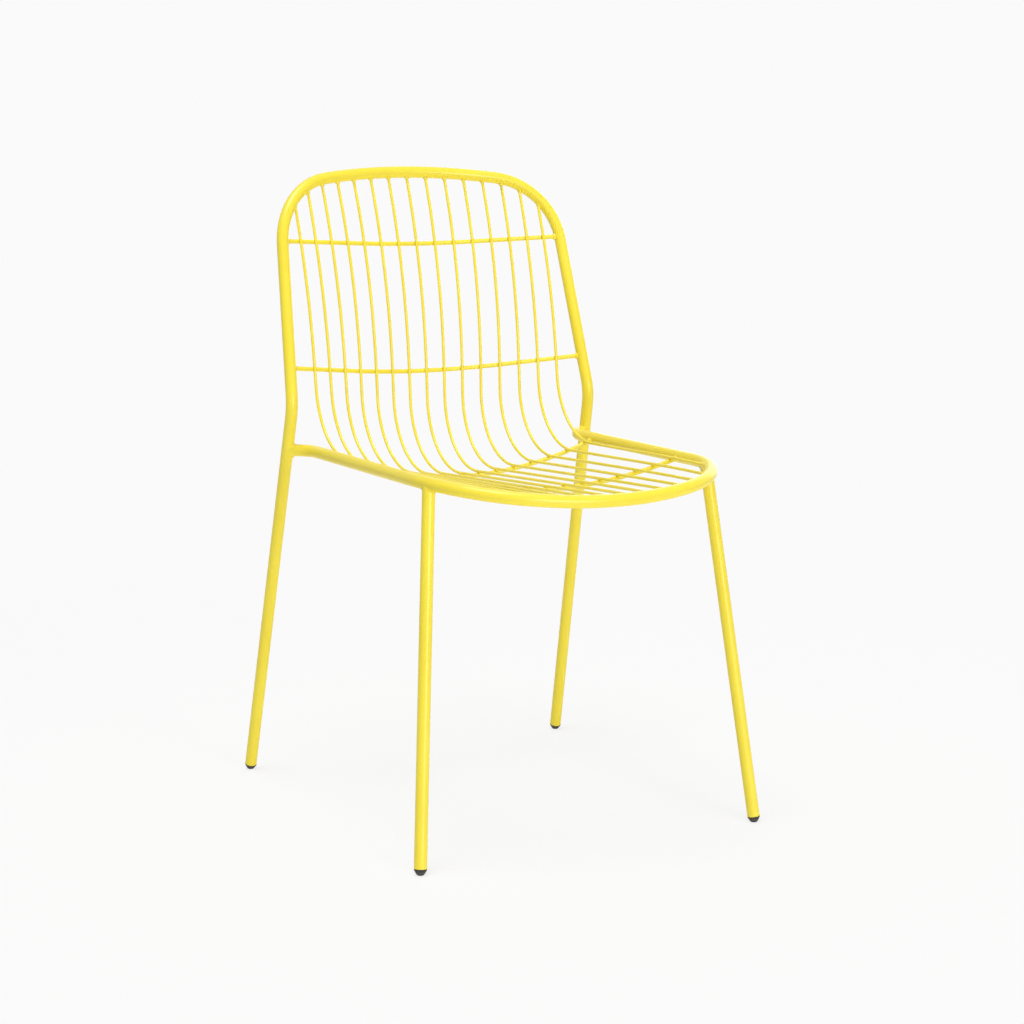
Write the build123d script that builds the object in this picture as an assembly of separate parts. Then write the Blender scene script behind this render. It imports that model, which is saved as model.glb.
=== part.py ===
from build123d import *
import math
import os

# Wire dining chair. Millimetres, front towards -Y, floor at z = 0.
# A bent tube hoop makes the rear legs and the back, a bent tube rim carries the seat,
# and fifteen long wires on four cross wires make one shell for seat and back.

# Stock
tube_diameter = 16.0
tube_wall = 1.5
tube_end_round = 0.6
wire_diameter = 4.0
cross_wire_diameter = 6.0

# Room left at a welded end and where two wires cross, and the weld beads on the tubes
weld_root_gap = 0.2
crossing_gap = 0.1
weld_bead = 1.2
weld_bead_gap = 0.1

# Back hoop: rear legs, uprights and top in one tube
rear_foot_x = 243.5
rear_foot_y = 299.5
kink_x = 224.7
kink_y = 169.2
kink_z = 521.0
kink_radius = 65.0
hoop_corner_x = 206.0
hoop_corner_y = 250.2
hoop_corner_z = 808.5
hoop_corner_radius = 104.0
crown_y = 312.7
crown_z = 834.4

# Seat rim: level side rails, bowed front that drops, rear ends turned out to the hoop
rail_height = 461.5
rail_half_width = 200.0
hook_lead = 16.1
hook_radius = 40.0
front_corner_radius = 139.0
front_bow_radius = 340.0
front_reach = 297.8
shoulder_drop = 9.5
nose_drop = 24.5

# Front legs: weld on the rim's corner behind the front, then the foot outward and forward of it
front_leg_set_back = 112.5
front_leg_splay = 42.8
front_leg_rake = 60.0

# Straight run kept between two neighbouring bends of a tube
run_between_bends = 2.0

# Back cross wires: height of their ends on the hoop, then the wide bend in their middle,
# as the depth of its corner behind the ends, the fall of that corner and the bend's radius
upper_cross_z = 736.0
upper_cross_depth = 42.5
upper_cross_fall = 10.0
upper_cross_radius = 420.0
lower_cross_z = 570.5
lower_cross_depth = 68.5
lower_cross_fall = 22.5
lower_cross_radius = 365.0

# Seat cross wires: place of their ends on the rails, sag of the middle, and how far back it sits
rear_cross_y = 106.7
rear_cross_sag = 42.8
rear_cross_bow = 17.0
front_cross_set_back = 181.5
front_cross_sag = 30.0

# Long wires: count, clear gap from the outer wire to the tube beside it, bend at the seat's back
wire_count = 15
outer_wire_gap_seat = 7.0
outer_wire_gap_back = 16.2
back_fan_angle = 33.0
wire_bend_radius = 98.0
front_end_lift = 3.0

# Glides: height under the tube, collar, domed nose with a flat at the floor, stem in the bore
glide_height = 7.4
glide_collar = 1.0
glide_dome_radius = 6.6
glide_flat_diameter = 7.2
glide_stem_length = 18.0
glide_stem_clearance = 0.1

# Stretches of a path, as shares of its length, on which one place is looked for
hoop_right_leg = (1.0, 0.75)
hoop_right_side = (1.0, 0.6)
hoop_top = (0.25, 0.75)
rim_right_corner = (0.75, 0.55)
rim_front = (0.3, 0.7)
whole_path = (0.0, 1.0)

tube_radius = tube_diameter / 2
bore_radius = tube_radius - tube_wall
wires_per_side = (wire_count - 1) // 2
crossing_spacing = (wire_diameter + cross_wire_diameter) / 2 + crossing_gap


def mirror_x(point):
    return Vector(-point.X, point.Y, point.Z)


def half_turn(before, corner, after):
    """Half the angle, in radians, by which a path turns at a corner."""
    return math.radians((corner - before).get_angle(after - corner)) / 2


def widest_bend(before, corner, after, taken):
    """Largest radius at a corner when each run has room for its own tangent and what is taken."""
    room = (corner - before).length - taken - run_between_bends
    return room / math.tan(half_turn(before, corner, after))


def where(path, value, stretch):
    """Parameter on a stretch of a path at which value(point) passes through zero."""
    start, end = stretch
    rising = value(path @ end) > value(path @ start)
    for _ in range(50):
        middle = (start + end) / 2
        if (value(path @ middle) > 0) == rising:
            end = middle
        else:
            start = middle
    return (start + end) / 2


def swept(path, outer_radius, inner_radius=0.0):
    """Round bar along a path, or a tube when it has a bore."""
    section = Circle(outer_radius)
    if inner_radius > 0:
        section = section - Circle(inner_radius)
    return sweep(Plane(origin=path @ 0, z_dir=path % 0) * section, path=path)


def largest(shape):
    """The main solid that is left after a cut."""
    return max(shape.solids(), key=lambda solid: solid.volume)


def rounded_ends(tube):
    """Tube with the outer edge of each square-cut end rounded."""
    ends = tube.faces().filter_by(GeomType.PLANE)
    return tube.fillet(tube_end_round, [edge for end in ends for edge in end.outer_wire().edges()])


def hoop_line():
    """Centre line of the back hoop from the left tube end to the right one."""
    foot = Vector(rear_foot_x, rear_foot_y, 0)
    kink = Vector(kink_x, kink_y, kink_z)
    corner = Vector(hoop_corner_x, hoop_corner_y, hoop_corner_z)
    crown = Vector(0, crown_y, crown_z)
    lower_end = foot + (kink - foot).normalized() * glide_height
    side = [lower_end, kink, corner]
    corner_tangent = hoop_corner_radius * math.tan(half_turn(kink, corner, crown))
    crown_radius = widest_bend(corner, crown, mirror_x(corner), corner_tangent)
    points = [mirror_x(point) for point in side] + [crown] + side[::-1]
    bends = [kink_radius, hoop_corner_radius]
    return FilletPolyline(*points, radius=bends + [crown_radius] + bends[::-1])


def rim_line(joint):
    """Centre line of the seat rim from one weld on the hoop to the other."""
    # Plan of the front: a corner arc that touches both the rail and the large front arc
    across = rail_half_width - front_corner_radius
    along = math.sqrt((front_bow_radius - front_corner_radius) ** 2 - across**2)
    corner_centre_y = -front_reach + front_bow_radius - along
    corner_turn = math.atan2(along, across)
    half_step = front_corner_radius * math.tan(corner_turn / 4)
    corner = Vector(rail_half_width, corner_centre_y - half_step, rail_height)
    step = Vector(-math.sin(corner_turn / 2), -math.cos(corner_turn / 2)) * (2 * half_step)
    shoulder = corner + step - Vector(0, 0, shoulder_drop)
    nose_y = -front_reach - front_bow_radius * (1 / math.sin(corner_turn) - 1)
    nose = Vector(0, nose_y, rail_height - nose_drop)
    hook = Vector(rail_half_width, joint.Y - hook_lead, rail_height)
    # The drop lengthens the runs a little, so the shoulder's bend is fitted to its own run
    corner_tangent = front_corner_radius * math.tan(half_turn(hook, corner, shoulder))
    shoulder_radius = widest_bend(corner, shoulder, nose, corner_tangent)
    shoulder_tangent = shoulder_radius * math.tan(half_turn(corner, shoulder, nose))
    nose_radius = widest_bend(shoulder, nose, mirror_x(shoulder), shoulder_tangent)
    side = [joint, hook, corner, shoulder]
    bends = [hook_radius, front_corner_radius, shoulder_radius]
    points = [mirror_x(point) for point in side] + [nose] + side[::-1]
    return FilletPolyline(*points, radius=bends + [nose_radius] + bends[::-1])


def cross_wire(line, carrier):
    """Cross wire with both ends cut to the tube that it is welded to."""
    return largest(swept(line, cross_wire_diameter / 2) - carrier)


def long_wire_plane(seat_x, back_x):
    """Plane of one long wire: local x runs back along the seat, local y runs up the back."""
    lean = (back_x - seat_x) / (upper_cross_z - rail_height)
    return Plane(origin=(seat_x, 0, rail_height), x_dir=(0, 1, 0), z_dir=(1, 0, -lean))


def in_plane(plane, point):
    """A point in the plane of a long wire, in that plane's own x and y."""
    local = plane.to_local_coords(point)
    return Vector(local.X, local.Y)


def crossing(line, plane):
    """Centre and direction of a cross wire where it passes through the plane of a long wire."""
    at = where(line, lambda point: plane.to_local_coords(point).Z, whole_path)
    return line @ at, line % at


def rest_distance(cross_direction, wire_direction, side):
    """Distance in the wire's plane that keeps a long wire just off a slanting cross wire."""
    normal = cross_direction.cross(wire_direction).normalized()
    return crossing_spacing / abs(normal.dot(side))


def on_cross(line, plane, wire_direction, side):
    """Place in its plane of a long wire where it lies against a cross wire."""
    centre, cross_direction = crossing(line, plane)
    reach = rest_distance(cross_direction, wire_direction, side)
    return in_plane(plane, centre + side * reach)


def long_wire_line(plane, hoop, rim, crosses):
    """Centre line, in its plane, of one long wire from the hoop down the back and along to the rim."""
    upper, lower, rear, front = crosses
    up = plane.y_dir
    upright_normal = Vector(0, kink_z - hoop_corner_z, hoop_corner_y - kink_y)
    back_direction = plane.z_dir.cross(upright_normal).normalized()
    back_side = back_direction.cross(plane.z_dir)
    top_at = where(hoop, lambda point: plane.to_local_coords(point).Z, hoop_top)
    top = in_plane(plane, hoop @ top_at)
    high = on_cross(upper, plane, back_direction, back_side)
    low = on_cross(lower, plane, back_direction, back_side)
    back = ThreePointArc(top, high, low)
    down = back % 1
    forward = Vector(down.Y, -down.X)
    # Bend circle: touches the line of the back and lies on the rear cross wire
    rear_centre, rear_direction = crossing(rear, plane)
    rear_reach = rest_distance(rear_direction, plane.x_dir, up)
    below = in_plane(plane, rear_centre)
    start = low + forward * wire_bend_radius
    offset = start - below
    slide = -offset.dot(down) - math.sqrt(
        offset.dot(down) ** 2 - offset.length**2 + (wire_bend_radius + rear_reach) ** 2
    )
    centre = start + down * slide
    bend_start = centre - forward * wire_bend_radius
    # Seat run: touches the bend circle from below and lies on the front cross wire
    rest = on_cross(front, plane, plane.x_dir, up)
    to_centre = centre - rest
    tangent_angle = math.degrees(math.asin(wire_bend_radius / to_centre.length))
    tangent_length = math.sqrt(to_centre.length**2 - wire_bend_radius**2)
    seat_direction = to_centre.normalized().rotate(Axis.Z, -tangent_angle)
    bend_end = rest + seat_direction * tangent_length
    bend_middle = centre + ((bend_start - centre) + (bend_end - centre)).normalized() * wire_bend_radius
    end_at = where(rim, lambda point: plane.to_local_coords(point).Z, rim_front)
    end = in_plane(plane, rim @ end_at) + Vector(0, front_end_lift)
    pieces = [
        back,
        Line(low, bend_start),
        ThreePointArc(bend_start, bend_middle, bend_end),
        Line(bend_end, rest),
        TangentArc(rest, end, tangent=-seat_direction),
    ]
    return Wire([piece.edge() for piece in pieces])


def glide(foot, leg_top):
    """Plastic glide: stem in the tube's bore, collar under its end, domed nose cut flat at the floor."""
    axis = (leg_top - foot).normalized()
    stem_radius = bore_radius - glide_stem_clearance
    stem_top = glide_height + glide_stem_length
    collar_bottom = glide_height - glide_collar
    dome_height = math.sqrt(glide_dome_radius**2 - (glide_flat_diameter / 2) ** 2) / axis.Z
    # The taper runs down from the collar's edge and touches the dome
    rise = collar_bottom - dome_height
    touch_angle = math.atan2(rise, tube_radius) - math.acos(glide_dome_radius / math.hypot(rise, tube_radius))
    dome = CenterArc((0, dome_height), glide_dome_radius, -90, 90 + math.degrees(touch_angle))
    outline = Polyline(
        dome @ 1,
        (tube_radius, collar_bottom),
        (tube_radius, glide_height),
        (stem_radius, glide_height),
        (stem_radius, stem_top),
        (0, stem_top),
        dome @ 0,
    )
    turned = revolve(Plane.XZ * make_face(dome + outline), Axis.Z)
    return split(Plane(origin=foot, z_dir=axis) * turned, bisect_by=Plane.XY, keep=Keep.TOP)


def weld_beads(tube_line, tube_room, branch_line):
    """Weld beads in the corners between a tube and the tubes that end on it, from left to right."""
    bead_radius = tube_radius + weld_bead
    beads = swept(tube_line, bead_radius + weld_root_gap) & swept(branch_line, bead_radius)
    beads = beads - tube_room - swept(branch_line, tube_radius + weld_bead_gap)
    return sorted(beads.solids(), key=lambda solid: solid.center().X)


def build():
    parts = {}
    hoop = hoop_line()
    joint_at = where(hoop, lambda point: point.Z - rail_height, hoop_right_leg)
    rim = rim_line(hoop @ joint_at)
    hoop_room = swept(hoop, tube_radius + weld_root_gap)
    rim_room = swept(rim, tube_radius + weld_root_gap)
    parts["back_hoop"] = rounded_ends(swept(hoop, tube_radius, bore_radius))
    parts["seat_rim"] = largest(swept(rim, tube_radius, bore_radius) - hoop_room)

    # Front legs and glides, left and right
    leg_at = where(rim, lambda point: point.Y + front_reach - front_leg_set_back, rim_right_corner)
    leg_top = rim @ leg_at
    front_foot = Vector(leg_top.X + front_leg_splay, leg_top.Y - front_leg_rake, 0)
    rear_foot = Vector(rear_foot_x, rear_foot_y, 0)
    kink = Vector(kink_x, kink_y, kink_z)
    for side, flip in (("left", mirror_x), ("right", Vector)):
        foot, top = flip(front_foot), flip(leg_top)
        lower_end = foot + (top - foot).normalized() * glide_height
        leg_line = Line(top, lower_end)
        leg = largest(swept(leg_line, tube_radius, bore_radius) - rim_room)
        parts[f"front_leg_{side}"] = rounded_ends(leg)
        parts[f"glide_front_{side}"] = glide(foot, top)
        parts[f"glide_rear_{side}"] = glide(flip(rear_foot), flip(kink))
    right_leg = leg_line

    # Cross wires: two with a wide bend across the back, two sagging arcs under the seat
    crosses = []
    for height, depth, fall, radius in (
        (upper_cross_z, upper_cross_depth, upper_cross_fall, upper_cross_radius),
        (lower_cross_z, lower_cross_depth, lower_cross_fall, lower_cross_radius),
    ):
        end = hoop @ where(hoop, lambda point: point.Z - height, hoop_right_side)
        corner = Vector(0, end.Y + depth, end.Z - fall)
        crosses.append(FilletPolyline(mirror_x(end), corner, end, radius=radius))
    for place, sag, bow in (
        (rear_cross_y, rear_cross_sag, rear_cross_bow),
        (front_cross_set_back - front_reach, front_cross_sag, 0.0),
    ):
        end = Vector(rail_half_width, place, rail_height)
        middle = Vector(0, place + bow, rail_height - sag)
        crosses.append(ThreePointArc(mirror_x(end), middle, end))
    names = ("upper_back", "lower_back", "rear_seat", "front_seat")
    carriers = (hoop_room, hoop_room, rim_room, rim_room)
    for name, line, carrier in zip(names, crosses, carriers):
        parts[f"cross_wire_{name}"] = cross_wire(line, carrier)

    # Long wires, evenly spaced on the seat and fanned round the bowed back
    wire_radius = wire_diameter / 2
    seat_half_span = rail_half_width - tube_radius - outer_wire_gap_seat - wire_radius
    upright = hoop @ where(hoop, lambda point: point.Z - upper_cross_z, hoop_right_side)
    back_half_span = upright.X - tube_radius - outer_wire_gap_back - wire_radius
    wires = []
    for number in range(-wires_per_side, wires_per_side + 1):
        share = number / wires_per_side
        fan = math.sin(math.radians(back_fan_angle * share)) / math.sin(math.radians(back_fan_angle))
        plane = long_wire_plane(seat_half_span * share, back_half_span * fan)
        wires.append((plane, long_wire_line(plane, hoop, rim, crosses)))
    for number, (plane, line) in enumerate(wires, start=1):
        wire = plane * swept(line, wire_radius)
        parts[f"long_wire_{number:02d}"] = largest(wire - hoop_room - rim_room)

    # Weld beads: rim on hoop, and front leg under the rim beside the outer wire; the left mirrors the right
    rear_bead = weld_beads(hoop, hoop_room, rim)[-1]
    plane, line = wires[-1]
    outer_wire_room = plane * swept(line, wire_radius + weld_bead_gap)
    front_bead = largest(weld_beads(rim, rim_room, right_leg)[-1] - outer_wire_room)
    for place, bead in (("rear", rear_bead), ("front", front_bead)):
        parts[f"weld_{place}_left"] = bead.mirror(Plane.YZ)
        parts[f"weld_{place}_right"] = bead
    return parts


os.makedirs("parts", exist_ok=True)
for node, shape in build().items():
    shape.label = node
    export_step(shape, f"parts/{node}.step")
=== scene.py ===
import bpy
import bmesh
import math
import numpy
from mathutils import Matrix, Vector, noise
from mathutils.bvhtree import BVHTree


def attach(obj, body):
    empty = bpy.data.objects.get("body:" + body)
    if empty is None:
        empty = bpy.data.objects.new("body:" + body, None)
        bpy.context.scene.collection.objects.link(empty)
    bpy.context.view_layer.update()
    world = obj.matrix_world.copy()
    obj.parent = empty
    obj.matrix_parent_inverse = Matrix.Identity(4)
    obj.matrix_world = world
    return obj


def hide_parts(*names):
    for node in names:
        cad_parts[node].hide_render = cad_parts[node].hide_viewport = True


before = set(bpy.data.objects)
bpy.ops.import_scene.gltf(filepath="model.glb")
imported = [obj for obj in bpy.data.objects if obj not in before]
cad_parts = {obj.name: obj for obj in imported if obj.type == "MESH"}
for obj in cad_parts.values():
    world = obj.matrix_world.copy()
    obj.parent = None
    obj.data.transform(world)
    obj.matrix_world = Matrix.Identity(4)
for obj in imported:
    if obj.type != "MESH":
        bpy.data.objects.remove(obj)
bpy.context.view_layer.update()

# Sizes in metres
mm = 0.001
tube_radius = 8 * mm
wire_radius = 2 * mm
cross_wire_radius = 3 * mm

# Weld metal in a corner: reach along the carrier, rise up the welded piece, how full and how lumpy it is,
# the number of scales on its bead and of steps round it
wire_weld = {
    "reach": 1.7 * mm, "rise": 3.0 * mm, "fullness": 1.3, "lumps": 0.35, "scales": 0, "steps": 20}
cross_weld = {
    "reach": 1.8 * mm, "rise": 3.0 * mm, "fullness": 1.25, "lumps": 0.35, "scales": 0, "steps": 24}
leg_weld = {
    "reach": 2.8 * mm, "rise": 2.4 * mm, "fullness": 0.9, "lumps": 0.15, "scales": 30, "steps": 120}
rim_weld = {
    "reach": 2.8 * mm, "rise": 2.6 * mm, "fullness": 0.75, "lumps": 0.2, "scales": 26, "steps": 120}
weld_sink = 0.25 * mm
weld_profile = (0.12, 0.35, 0.6, 0.85)
lump_frequency = 420
scale_swell = 0.08
scale_crest = 0.5

# Reading a welded end off its centre line: the tip's length and the start of the run, in radii,
# and the points of the run that are used
tip_length = 2
run_start = 4
run_points = 24

# Spot welds where two wires cross: half sizes along the long wire, along the cross wire and between them
spot_half_length = 2.4 * mm
spot_half_width = 1.7 * mm
spot_half_height = 0.9 * mm
spot_unevenness = 0.4 * mm
spot_seed = 7
crossing_steps = 160
crossing_span = 45 * mm

# Height over the floor below which the glides are painted lighter: scuff wear plus a painted reflection of
# the pale floor
glide_sheen_and_wear_height = 6.5 * mm

# Camera at the photograph's view, focal length in pixels of a 1024 pixel wide picture
image_size = 1024
focal_pixels = 2254
sensor_width = 36
camera_place = (-1.3425, -2.5890, 0.8408)
camera_yaw = -27.65
camera_pitch = -8.84

# Studio: floor size, white of the ground, its share in the floor near the chair (the rest is the lit floor
# with the shadow) and how far that reaches, level of the room's light, and lamps with their power
floor_half_width = 40.0
paper_white = (0.955, 0.955, 0.955)
floor_glow = 0.8
shadow_reach = 1.0
room_light = 0.29
chair_middle = Vector((0, 0, 0.45))
lamps = {
    "key_light": {"place": (-1.25, -0.63, 8.3), "size": 3.8, "watts": 455},
    "fill_light": {"place": (0.50, -6.90, 1.40), "size": 2.3, "watts": 205},
    "back_light": {"place": (4.50, 3.70, 2.00), "size": 5.0, "watts": 110},
}

# Where the back, and the rear of the seat, begin
back_height = 0.6
rear_depth = 0.1

long_wires = [f"long_wire_{number:02d}" for number in range(1, 16)]
back_cross_wires = ["cross_wire_upper_back", "cross_wire_lower_back"]
seat_cross_wires = ["cross_wire_rear_seat", "cross_wire_front_seat"]
cross_wires = back_cross_wires + seat_cross_wires
front_legs = ["front_leg_left", "front_leg_right"]
tubes = ["back_hoop", "seat_rim"] + front_legs
glides = ["glide_front_left", "glide_front_right", "glide_rear_left", "glide_rear_right"]


# Materials

class NodeSheet:
    """A node tree with short ways to add nodes and join them."""

    def __init__(self, tree):
        self.tree = tree

    def add(self, kind, inputs=None, **settings):
        node = self.tree.nodes.new(kind)
        for key, value in settings.items():
            setattr(node, key, value)
        for key, value in (inputs or {}).items():
            if isinstance(value, bpy.types.NodeSocket):
                self.tree.links.new(value, node.inputs[key])
            else:
                node.inputs[key].default_value = value
        return node

    def join(self, source, target):
        self.tree.links.new(source, target)


class Finish(NodeSheet):
    """A procedural surface finish on a principled shader."""

    def __init__(self, name):
        self.material = bpy.data.materials.new(name)
        self.material.use_nodes = True
        super().__init__(self.material.node_tree)
        self.shader = self.tree.nodes["Principled BSDF"].inputs
        self.place = self.add("ShaderNodeTexCoord").outputs["Object"]

    def noise(self, scale, detail=2.0, roughness=0.5):
        inputs = {"Vector": self.place, "Scale": scale, "Detail": detail, "Roughness": roughness}
        return self.add("ShaderNodeTexNoise", inputs).outputs["Fac"]

    def ramp(self, factor, stops):
        node = self.add("ShaderNodeValToRGB", {"Fac": factor})
        elements = node.color_ramp.elements
        for index, (place, colour) in enumerate(stops):
            element = elements[index] if index < 2 else elements.new(place)
            element.position = place
            element.color = (*colour, 1)
        return node.outputs["Color"]

    def spread(self, factor, low, high):
        inputs = {"Value": factor, "From Min": 0.3, "From Max": 0.7, "To Min": low, "To Max": high}
        return self.add("ShaderNodeMapRange", inputs).outputs["Result"]

    def bump(self, height, strength, distance, below=None):
        inputs = {"Height": height, "Strength": strength, "Distance": distance}
        if below is not None:
            inputs["Normal"] = below
        return self.add("ShaderNodeBump", inputs).outputs["Normal"]


def powder_coat(name, cloud_scale):
    """Satin yellow powder coat: orange peel, fine grain and a slight drift of shade."""
    coat = Finish(name)
    clouds = coat.noise(cloud_scale, detail=4)
    shades = [(0.3, (0.86, 0.695, 0.038)), (0.5, (0.88, 0.72, 0.044)), (0.72, (0.9, 0.745, 0.052))]
    coat.join(coat.ramp(clouds, shades), coat.shader["Base Color"])
    grain = coat.noise(2400, detail=3, roughness=0.6)
    coat.join(coat.spread(grain, 0.3, 0.4), coat.shader["Roughness"])
    peel = coat.bump(coat.noise(620, detail=1), 0.12, 0.3 * mm)
    coat.join(coat.bump(grain, 0.06, 0.1 * mm, below=peel), coat.shader["Normal"])
    coat.shader["Specular IOR Level"].default_value = 0.45
    return coat.material


def moulded_plastic(name):
    """Black moulded plastic of the glides, matt, with grey scuffs, and painted lighter towards the floor:
    wear plus a painted reflection of the pale floor.
    """
    plastic = Finish(name)
    scuff = plastic.noise(900, detail=5, roughness=0.65)
    height = plastic.add("ShaderNodeSeparateXYZ", {0: plastic.place}).outputs["Z"]
    # Painted floor reflection with wear: the glides turn lighter grey below this height, towards the floor
    floor_sheen_and_wear = plastic.add("ShaderNodeMapRange", {
        "Value": height, "From Min": glide_sheen_and_wear_height, "From Max": 0.6 * glide_sheen_and_wear_height,
        "To Max": 0.45})
    scuff_and_floor_sheen = plastic.add("ShaderNodeMath", {0: scuff, 1: floor_sheen_and_wear.outputs[0]}, operation="ADD").outputs[0]
    shades = [(0.4, (0.013, 0.011, 0.012)), (0.7, (0.036, 0.032, 0.031)), (1.0, (0.075, 0.068, 0.066))]
    plastic.join(plastic.ramp(scuff_and_floor_sheen, shades), plastic.shader["Base Color"])
    plastic.join(plastic.spread(scuff, 0.5, 0.68), plastic.shader["Roughness"])
    plastic.join(plastic.bump(scuff, 0.2, 0.1 * mm), plastic.shader["Normal"])
    return plastic.material


def dress(names, material):
    """Give each node's object one material."""
    for name in names:
        slots = bpy.data.objects[name].data.materials
        slots.clear()
        slots.append(material)


tube_coat = powder_coat("tube_coat", cloud_scale=9)
wire_coat = powder_coat("wire_coat", cloud_scale=16)
glide_plastic = moulded_plastic("glide_plastic")
dress(tubes, tube_coat)
dress(long_wires + cross_wires, wire_coat)
dress(glides, glide_plastic)


# Places on the frame

def surface_of(name):
    """Search tree of a node's surface."""
    mesh = bpy.data.objects[name].data
    corners = [vertex.co for vertex in mesh.vertices]
    return BVHTree.FromPolygons(corners, [face.vertices for face in mesh.polygons])


surfaces = {name: surface_of(name) for name in tubes + long_wires + cross_wires}


def core_of(name, radius):
    """Points on the centre line of a round node: corners of its outside pushed in by the radius."""
    mesh = bpy.data.objects[name].data
    points = []
    for face in mesh.polygons:
        just_off = face.center + face.normal * radius / 4
        in_bore = surfaces[name].ray_cast(just_off, face.normal, 2 * radius)[0] is not None
        if not in_bore:
            for loop in face.loop_indices:
                corner = mesh.vertices[mesh.loops[loop].vertex_index].co
                points.append(corner - mesh.corner_normals[loop].vector * radius)
    return points


def mean(points):
    return sum(points, Vector()) / len(points)


class WeldedEnd:
    """The end of a round node on its carrier: its tip, and the direction in which it runs in."""

    def __init__(self, name, radius, carrier, inside):
        surface = surfaces[carrier]
        core = [point for point in cores[name] if inside(point)]
        end = min(core, key=lambda point: surface.find_nearest(point)[3])
        by_distance = sorted(core, key=lambda point: (point - end).length)
        near = [point for point in by_distance if (point - end).length < tip_length * radius]
        beyond = [point for point in by_distance if (point - end).length > run_start * radius]
        self.tip = mean(near)
        self.direction = (self.tip - mean(beyond[:run_points])).normalized()
        self.radius = radius
        self.surface = surface


cores = {name: core_of(name, tube_radius) for name in ["seat_rim"] + front_legs}
cores.update({name: core_of(name, wire_radius) for name in long_wires})
cores.update({name: core_of(name, cross_wire_radius) for name in cross_wires})


# Pieces

def finish_piece(piece, nodes=()):
    """Say what the piece rides on, and hide the nodes that it stands for."""
    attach(piece, "root")
    if nodes:
        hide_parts(*nodes)


def new_object(name, mesh):
    piece = bpy.data.objects.new(name, mesh)
    bpy.context.collection.objects.link(piece)
    return piece


def weld_ring(builder, end, reach, rise, fullness, lumps, scales, steps):
    """Closed ring of weld metal in the corner between a round end and its carrier."""
    side = end.direction.orthogonal().normalized()
    across = end.direction.cross(side)
    start = end.tip - end.direction * 2 * tube_radius
    loops = []
    for step in range(steps):
        angle = 2 * math.pi * step / steps
        out = side * math.cos(angle) + across * math.sin(angle)
        corner = end.surface.ray_cast(start + out * end.radius, end.direction)[0]
        if corner is None:
            corner = end.surface.find_nearest(end.tip + out * end.radius)[0]
        ripple = abs(math.sin(scales * angle / 2))
        swell = 1 + lumps * noise.noise(corner * lump_frequency) + scale_swell * ripple
        foot, foot_normal = end.surface.find_nearest(corner + out * reach * swell)[:2]
        top = corner - end.direction * rise * swell
        knee = corner + ((top + foot) / 2 - corner) * (fullness + scale_crest * ripple)
        crest = [top * (1 - t) ** 2 + knee * 2 * t * (1 - t) + foot * t**2 for t in weld_profile]
        root = corner - out * weld_sink + end.direction * weld_sink
        loop = [top - out * weld_sink, *crest, foot - foot_normal * weld_sink, root]
        loops.append([builder.verts.new(point) for point in loop])
    count = len(loops[0])
    for one, other in zip(loops, loops[1:] + loops[:1]):
        for index in range(count):
            after = (index + 1) % count
            builder.faces.new((one[index], one[after], other[after], other[index]))


def weld_piece(name, ends, material, nodes=()):
    """One piece of weld rings for a set of ends, each with its own sizes."""
    builder = bmesh.new()
    for end, sizes in ends:
        weld_ring(builder, end, **sizes)
    bmesh.ops.recalc_face_normals(builder, faces=builder.faces)
    mesh = bpy.data.meshes.new(name)
    builder.to_mesh(mesh)
    builder.free()
    mesh.polygons.foreach_set("use_smooth", [True] * len(mesh.polygons))
    mesh.materials.append(material)
    finish_piece(new_object(name, mesh), nodes)


def on_left(point):
    return point.x < 0


def on_right(point):
    return point.x > 0


def in_back(point):
    return point.z > back_height


def in_front(point):
    return point.y < 0


def at_rear(point):
    return point.y > rear_depth


sides = {"left": on_left, "right": on_right}
for side, on_side in sides.items():
    rear = WeldedEnd("seat_rim", tube_radius, "back_hoop", lambda point: on_side(point) and at_rear(point))
    weld_piece(f"rim_weld_{side}", [(rear, rim_weld)], tube_coat, [f"weld_rear_{side}"])
    leg = WeldedEnd(f"front_leg_{side}", tube_radius, "seat_rim", on_side)
    weld_piece(f"leg_weld_{side}", [(leg, leg_weld)], tube_coat, [f"weld_front_{side}"])

for place, carrier, in_place, crosses in (
    ("hoop", "back_hoop", in_back, back_cross_wires),
    ("rim", "seat_rim", in_front, seat_cross_wires),
):
    ends = [(WeldedEnd(name, wire_radius, carrier, in_place), wire_weld) for name in long_wires]
    for on_side in sides.values():
        ends += [(WeldedEnd(name, cross_wire_radius, carrier, on_side), cross_weld) for name in crosses]
    weld_piece(f"wire_welds_on_{place}", ends, wire_coat)


def crossing(wire, cross):
    """Place where a long wire lies on a cross wire, with the axes of its spot weld."""
    corners = [vertex.co for vertex in bpy.data.objects[wire].data.vertices]
    place = min(corners, key=lambda point: surfaces[cross].find_nearest(point)[3])
    for _ in range(crossing_steps):
        below, away = surfaces[cross].find_nearest(place)[:2]
        place = surfaces[wire].find_nearest(below)[0]
    near = numpy.array([point for point in cores[wire] if (point - place).length < crossing_span])
    along = Vector(numpy.linalg.svd(near - near.mean(axis=0))[2][0])
    across = away.cross(along).normalized()
    turn = Matrix((across.cross(away), across, away)).transposed().to_euler()
    return (place + below) / 2, turn


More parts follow.
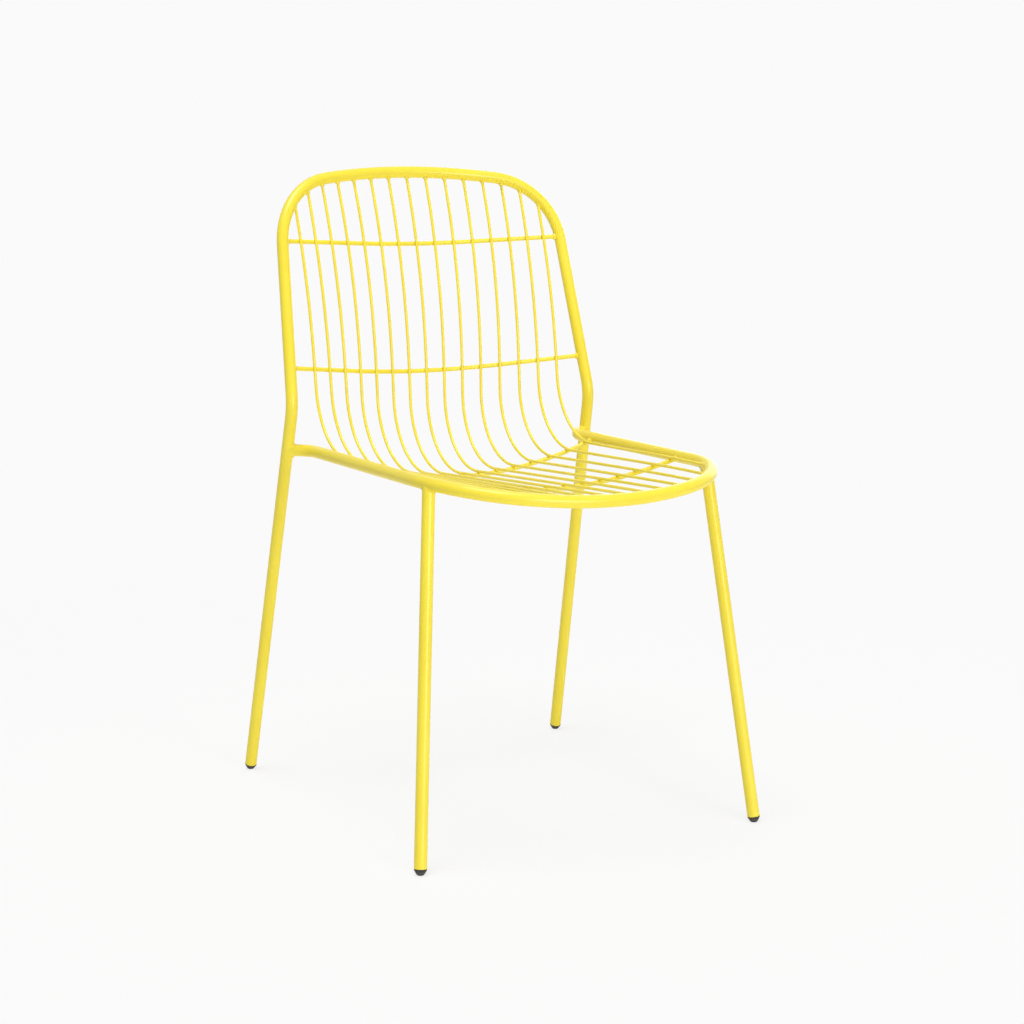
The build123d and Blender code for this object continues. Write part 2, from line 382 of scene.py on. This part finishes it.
def spot_weld_tree(material):
    """Geometry nodes: an uneven pillow of metal on each point, turned by the point's own angles."""
    tree = bpy.data.node_groups.new("spot_welds", "GeometryNodeTree")
    names = ["Half length", "Half width", "Half height", "Unevenness"]
    tree.interface.new_socket("Geometry", in_out="INPUT", socket_type="NodeSocketGeometry")
    for name in names:
        tree.interface.new_socket(name, in_out="INPUT", socket_type="NodeSocketFloat")
    tree.interface.new_socket("Seed", in_out="INPUT", socket_type="NodeSocketInt")
    tree.interface.new_socket("Geometry", in_out="OUTPUT", socket_type="NodeSocketGeometry")
    sheet = NodeSheet(tree)
    given = sheet.add("NodeGroupInput").outputs
    pillow = sheet.add("GeometryNodeMeshUVSphere", {"Segments": 12, "Rings": 7, "Radius": 1.0})
    size = sheet.add("ShaderNodeCombineXYZ", {axis: given[name] for axis, name in zip("XYZ", names)})
    range_of_size = {"Min": (0.85,) * 3, "Max": (1.12,) * 3, "Seed": given["Seed"]}
    vary = sheet.add("FunctionNodeRandomValue", range_of_size, data_type="FLOAT_VECTOR")
    both = {0: size.outputs[0], 1: vary.outputs[0]}
    scale = sheet.add("ShaderNodeVectorMath", both, operation="MULTIPLY")
    angles = sheet.add("GeometryNodeInputNamedAttribute", {"Name": "turn"}, data_type="FLOAT_VECTOR")
    turn = sheet.add("FunctionNodeEulerToRotation", {"Euler": angles.outputs["Attribute"]})
    placed = sheet.add("GeometryNodeInstanceOnPoints", {
        "Points": given["Geometry"], "Instance": pillow.outputs["Mesh"],
        "Rotation": turn.outputs["Rotation"], "Scale": scale.outputs["Vector"]})
    real = sheet.add("GeometryNodeRealizeInstances", {"Geometry": placed.outputs["Instances"]})
    lump = sheet.add("ShaderNodeTexNoise", {"Scale": lump_frequency, "Detail": 1.0})
    middle = sheet.add("ShaderNodeMath", {0: lump.outputs["Fac"], 1: 0.5}, operation="SUBTRACT")
    lumpiness = {0: middle.outputs[0], 1: given["Unevenness"]}
    amount = sheet.add("ShaderNodeMath", lumpiness, operation="MULTIPLY")
    outward = sheet.add("GeometryNodeInputNormal")
    push = sheet.add("ShaderNodeVectorMath", {0: outward.outputs["Normal"], "Scale": amount.outputs[0]},
                     operation="SCALE")
    uneven = sheet.add("GeometryNodeSetPosition", {
        "Geometry": real.outputs[0], "Offset": push.outputs["Vector"]})
    smooth = sheet.add("GeometryNodeSetShadeSmooth", {"Geometry": uneven.outputs["Geometry"]})
    coated = sheet.add("GeometryNodeSetMaterial", {
        "Geometry": smooth.outputs["Geometry"], "Material": material})
    sheet.add("NodeGroupOutput", {"Geometry": coated.outputs["Geometry"]})
    return tree


def spot_welds(name, places):
    """Spot welds at the crossings, made by the tree and kept as a plain mesh."""
    mesh = bpy.data.meshes.new(name)
    mesh.from_pydata([place for place, turn in places], [], [])
    mesh.attributes.new("turn", "FLOAT_VECTOR", "POINT")
    mesh.attributes["turn"].data.foreach_set("vector", [angle for place, turn in places for angle in turn])
    piece = new_object(name, mesh)
    tree = spot_weld_tree(wire_coat)
    modifier = piece.modifiers.new("spot_welds", "NODES")
    modifier.node_group = tree
    sizes = {
        "Half length": spot_half_length, "Half width": spot_half_width, "Half height": spot_half_height,
        "Unevenness": spot_unevenness, "Seed": spot_seed}
    for socket in tree.interface.items_tree:
        if socket.in_out == "INPUT" and socket.name in sizes:
            modifier[socket.identifier] = sizes[socket.name]
    seen = piece.evaluated_get(bpy.context.evaluated_depsgraph_get())
    made = bpy.data.meshes.new_from_object(seen)
    piece.modifiers.clear()
    piece.data = made
    finish_piece(piece)


spot_welds("crossing_welds", [crossing(wire, cross) for cross in cross_wires for wire in long_wires])


# Floor, light and camera

def studio_floor():
    """Pale floor that keeps a faint shadow and reads as the photograph's white ground."""
    half = floor_half_width
    corners = [(-half, -half, 0), (half, -half, 0), (half, half, 0), (-half, half, 0)]
    mesh = bpy.data.meshes.new("studio_floor")
    mesh.from_pydata(corners, [], [(0, 1, 2, 3)])
    floor = new_object("studio_floor", mesh)
    ground = Finish("pale_ground")
    ground.shader["Base Color"].default_value = (0.93, 0.93, 0.93, 1)
    ground.shader["Roughness"].default_value = 0.95
    ground.shader["Specular IOR Level"].default_value = 0.0
    ray = ground.add("ShaderNodeLightPath").outputs
    away = ground.add("ShaderNodeVectorMath", {0: ground.place}, operation="LENGTH").outputs["Value"]
    white = ground.add("ShaderNodeMapRange", {
        "Value": away, "From Min": shadow_reach, "From Max": 2 * shadow_reach,
        "To Min": floor_glow, "To Max": 1.0})
    share = {0: ray["Is Camera Ray"], 1: white.outputs[0]}
    seen = ground.add("ShaderNodeMath", share, operation="MULTIPLY")
    glow = ground.add("ShaderNodeEmission", {"Color": (*paper_white, 1), "Strength": 1.0})
    plain = ground.tree.nodes["Principled BSDF"].outputs["BSDF"]
    mix = ground.add("ShaderNodeMixShader", {"Fac": seen.outputs[0], 1: plain, 2: glow.outputs["Emission"]})
    ground.join(mix.outputs["Shader"], ground.tree.nodes["Material Output"].inputs["Surface"])
    mesh.materials.append(ground.material)


def soft_light(name, place, size, watts):
    """Round soft box that faces the middle of the chair and isn't seen itself."""
    lamp = bpy.data.lights.new(name, "AREA")
    lamp.shape = "DISK"
    lamp.size = size
    lamp.energy = watts
    holder = new_object(name, lamp)
    holder.visible_camera = False
    holder.location = place
    holder.rotation_euler = (chair_middle - Vector(place)).to_track_quat("-Z", "Y").to_euler()


def white_room():
    """White surround: seen as paper white, lighting the chair at a plain level."""
    world = bpy.data.worlds.new("white_room")
    world.use_nodes = True
    sheet = NodeSheet(world.node_tree)
    ray = sheet.add("ShaderNodeLightPath").outputs
    direct = {0: ray["Is Camera Ray"], 1: ray["Is Glossy Ray"]}
    seen = sheet.add("ShaderNodeMath", direct, operation="MAXIMUM")
    through = {0: seen.outputs[0], 1: ray["Is Transmission Ray"]}
    seen = sheet.add("ShaderNodeMath", through, operation="MAXIMUM")
    light = sheet.add("ShaderNodeBackground", {"Color": (1, 1, 1, 1), "Strength": room_light})
    paper = sheet.add("ShaderNodeBackground", {"Color": (*paper_white, 1), "Strength": 1.0})
    either = {"Fac": seen.outputs[0], 1: light.outputs[0], 2: paper.outputs[0]}
    mix = sheet.add("ShaderNodeMixShader", either)
    sheet.join(mix.outputs["Shader"], world.node_tree.nodes["World Output"].inputs["Surface"])
    bpy.context.scene.world = world


def photo_camera():
    camera = bpy.data.cameras.new("photo_camera")
    camera.sensor_width = sensor_width
    camera.lens = focal_pixels / image_size * sensor_width
    camera.clip_end = 200
    holder = new_object("photo_camera", camera)
    holder.location = camera_place
    holder.rotation_euler = (math.radians(90 + camera_pitch), 0, math.radians(camera_yaw))
    bpy.context.scene.camera = holder


studio_floor()
white_room()
for name, lamp in lamps.items():
    soft_light(name, **lamp)
photo_camera()
bpy.context.scene.view_settings.view_transform = "Standard"
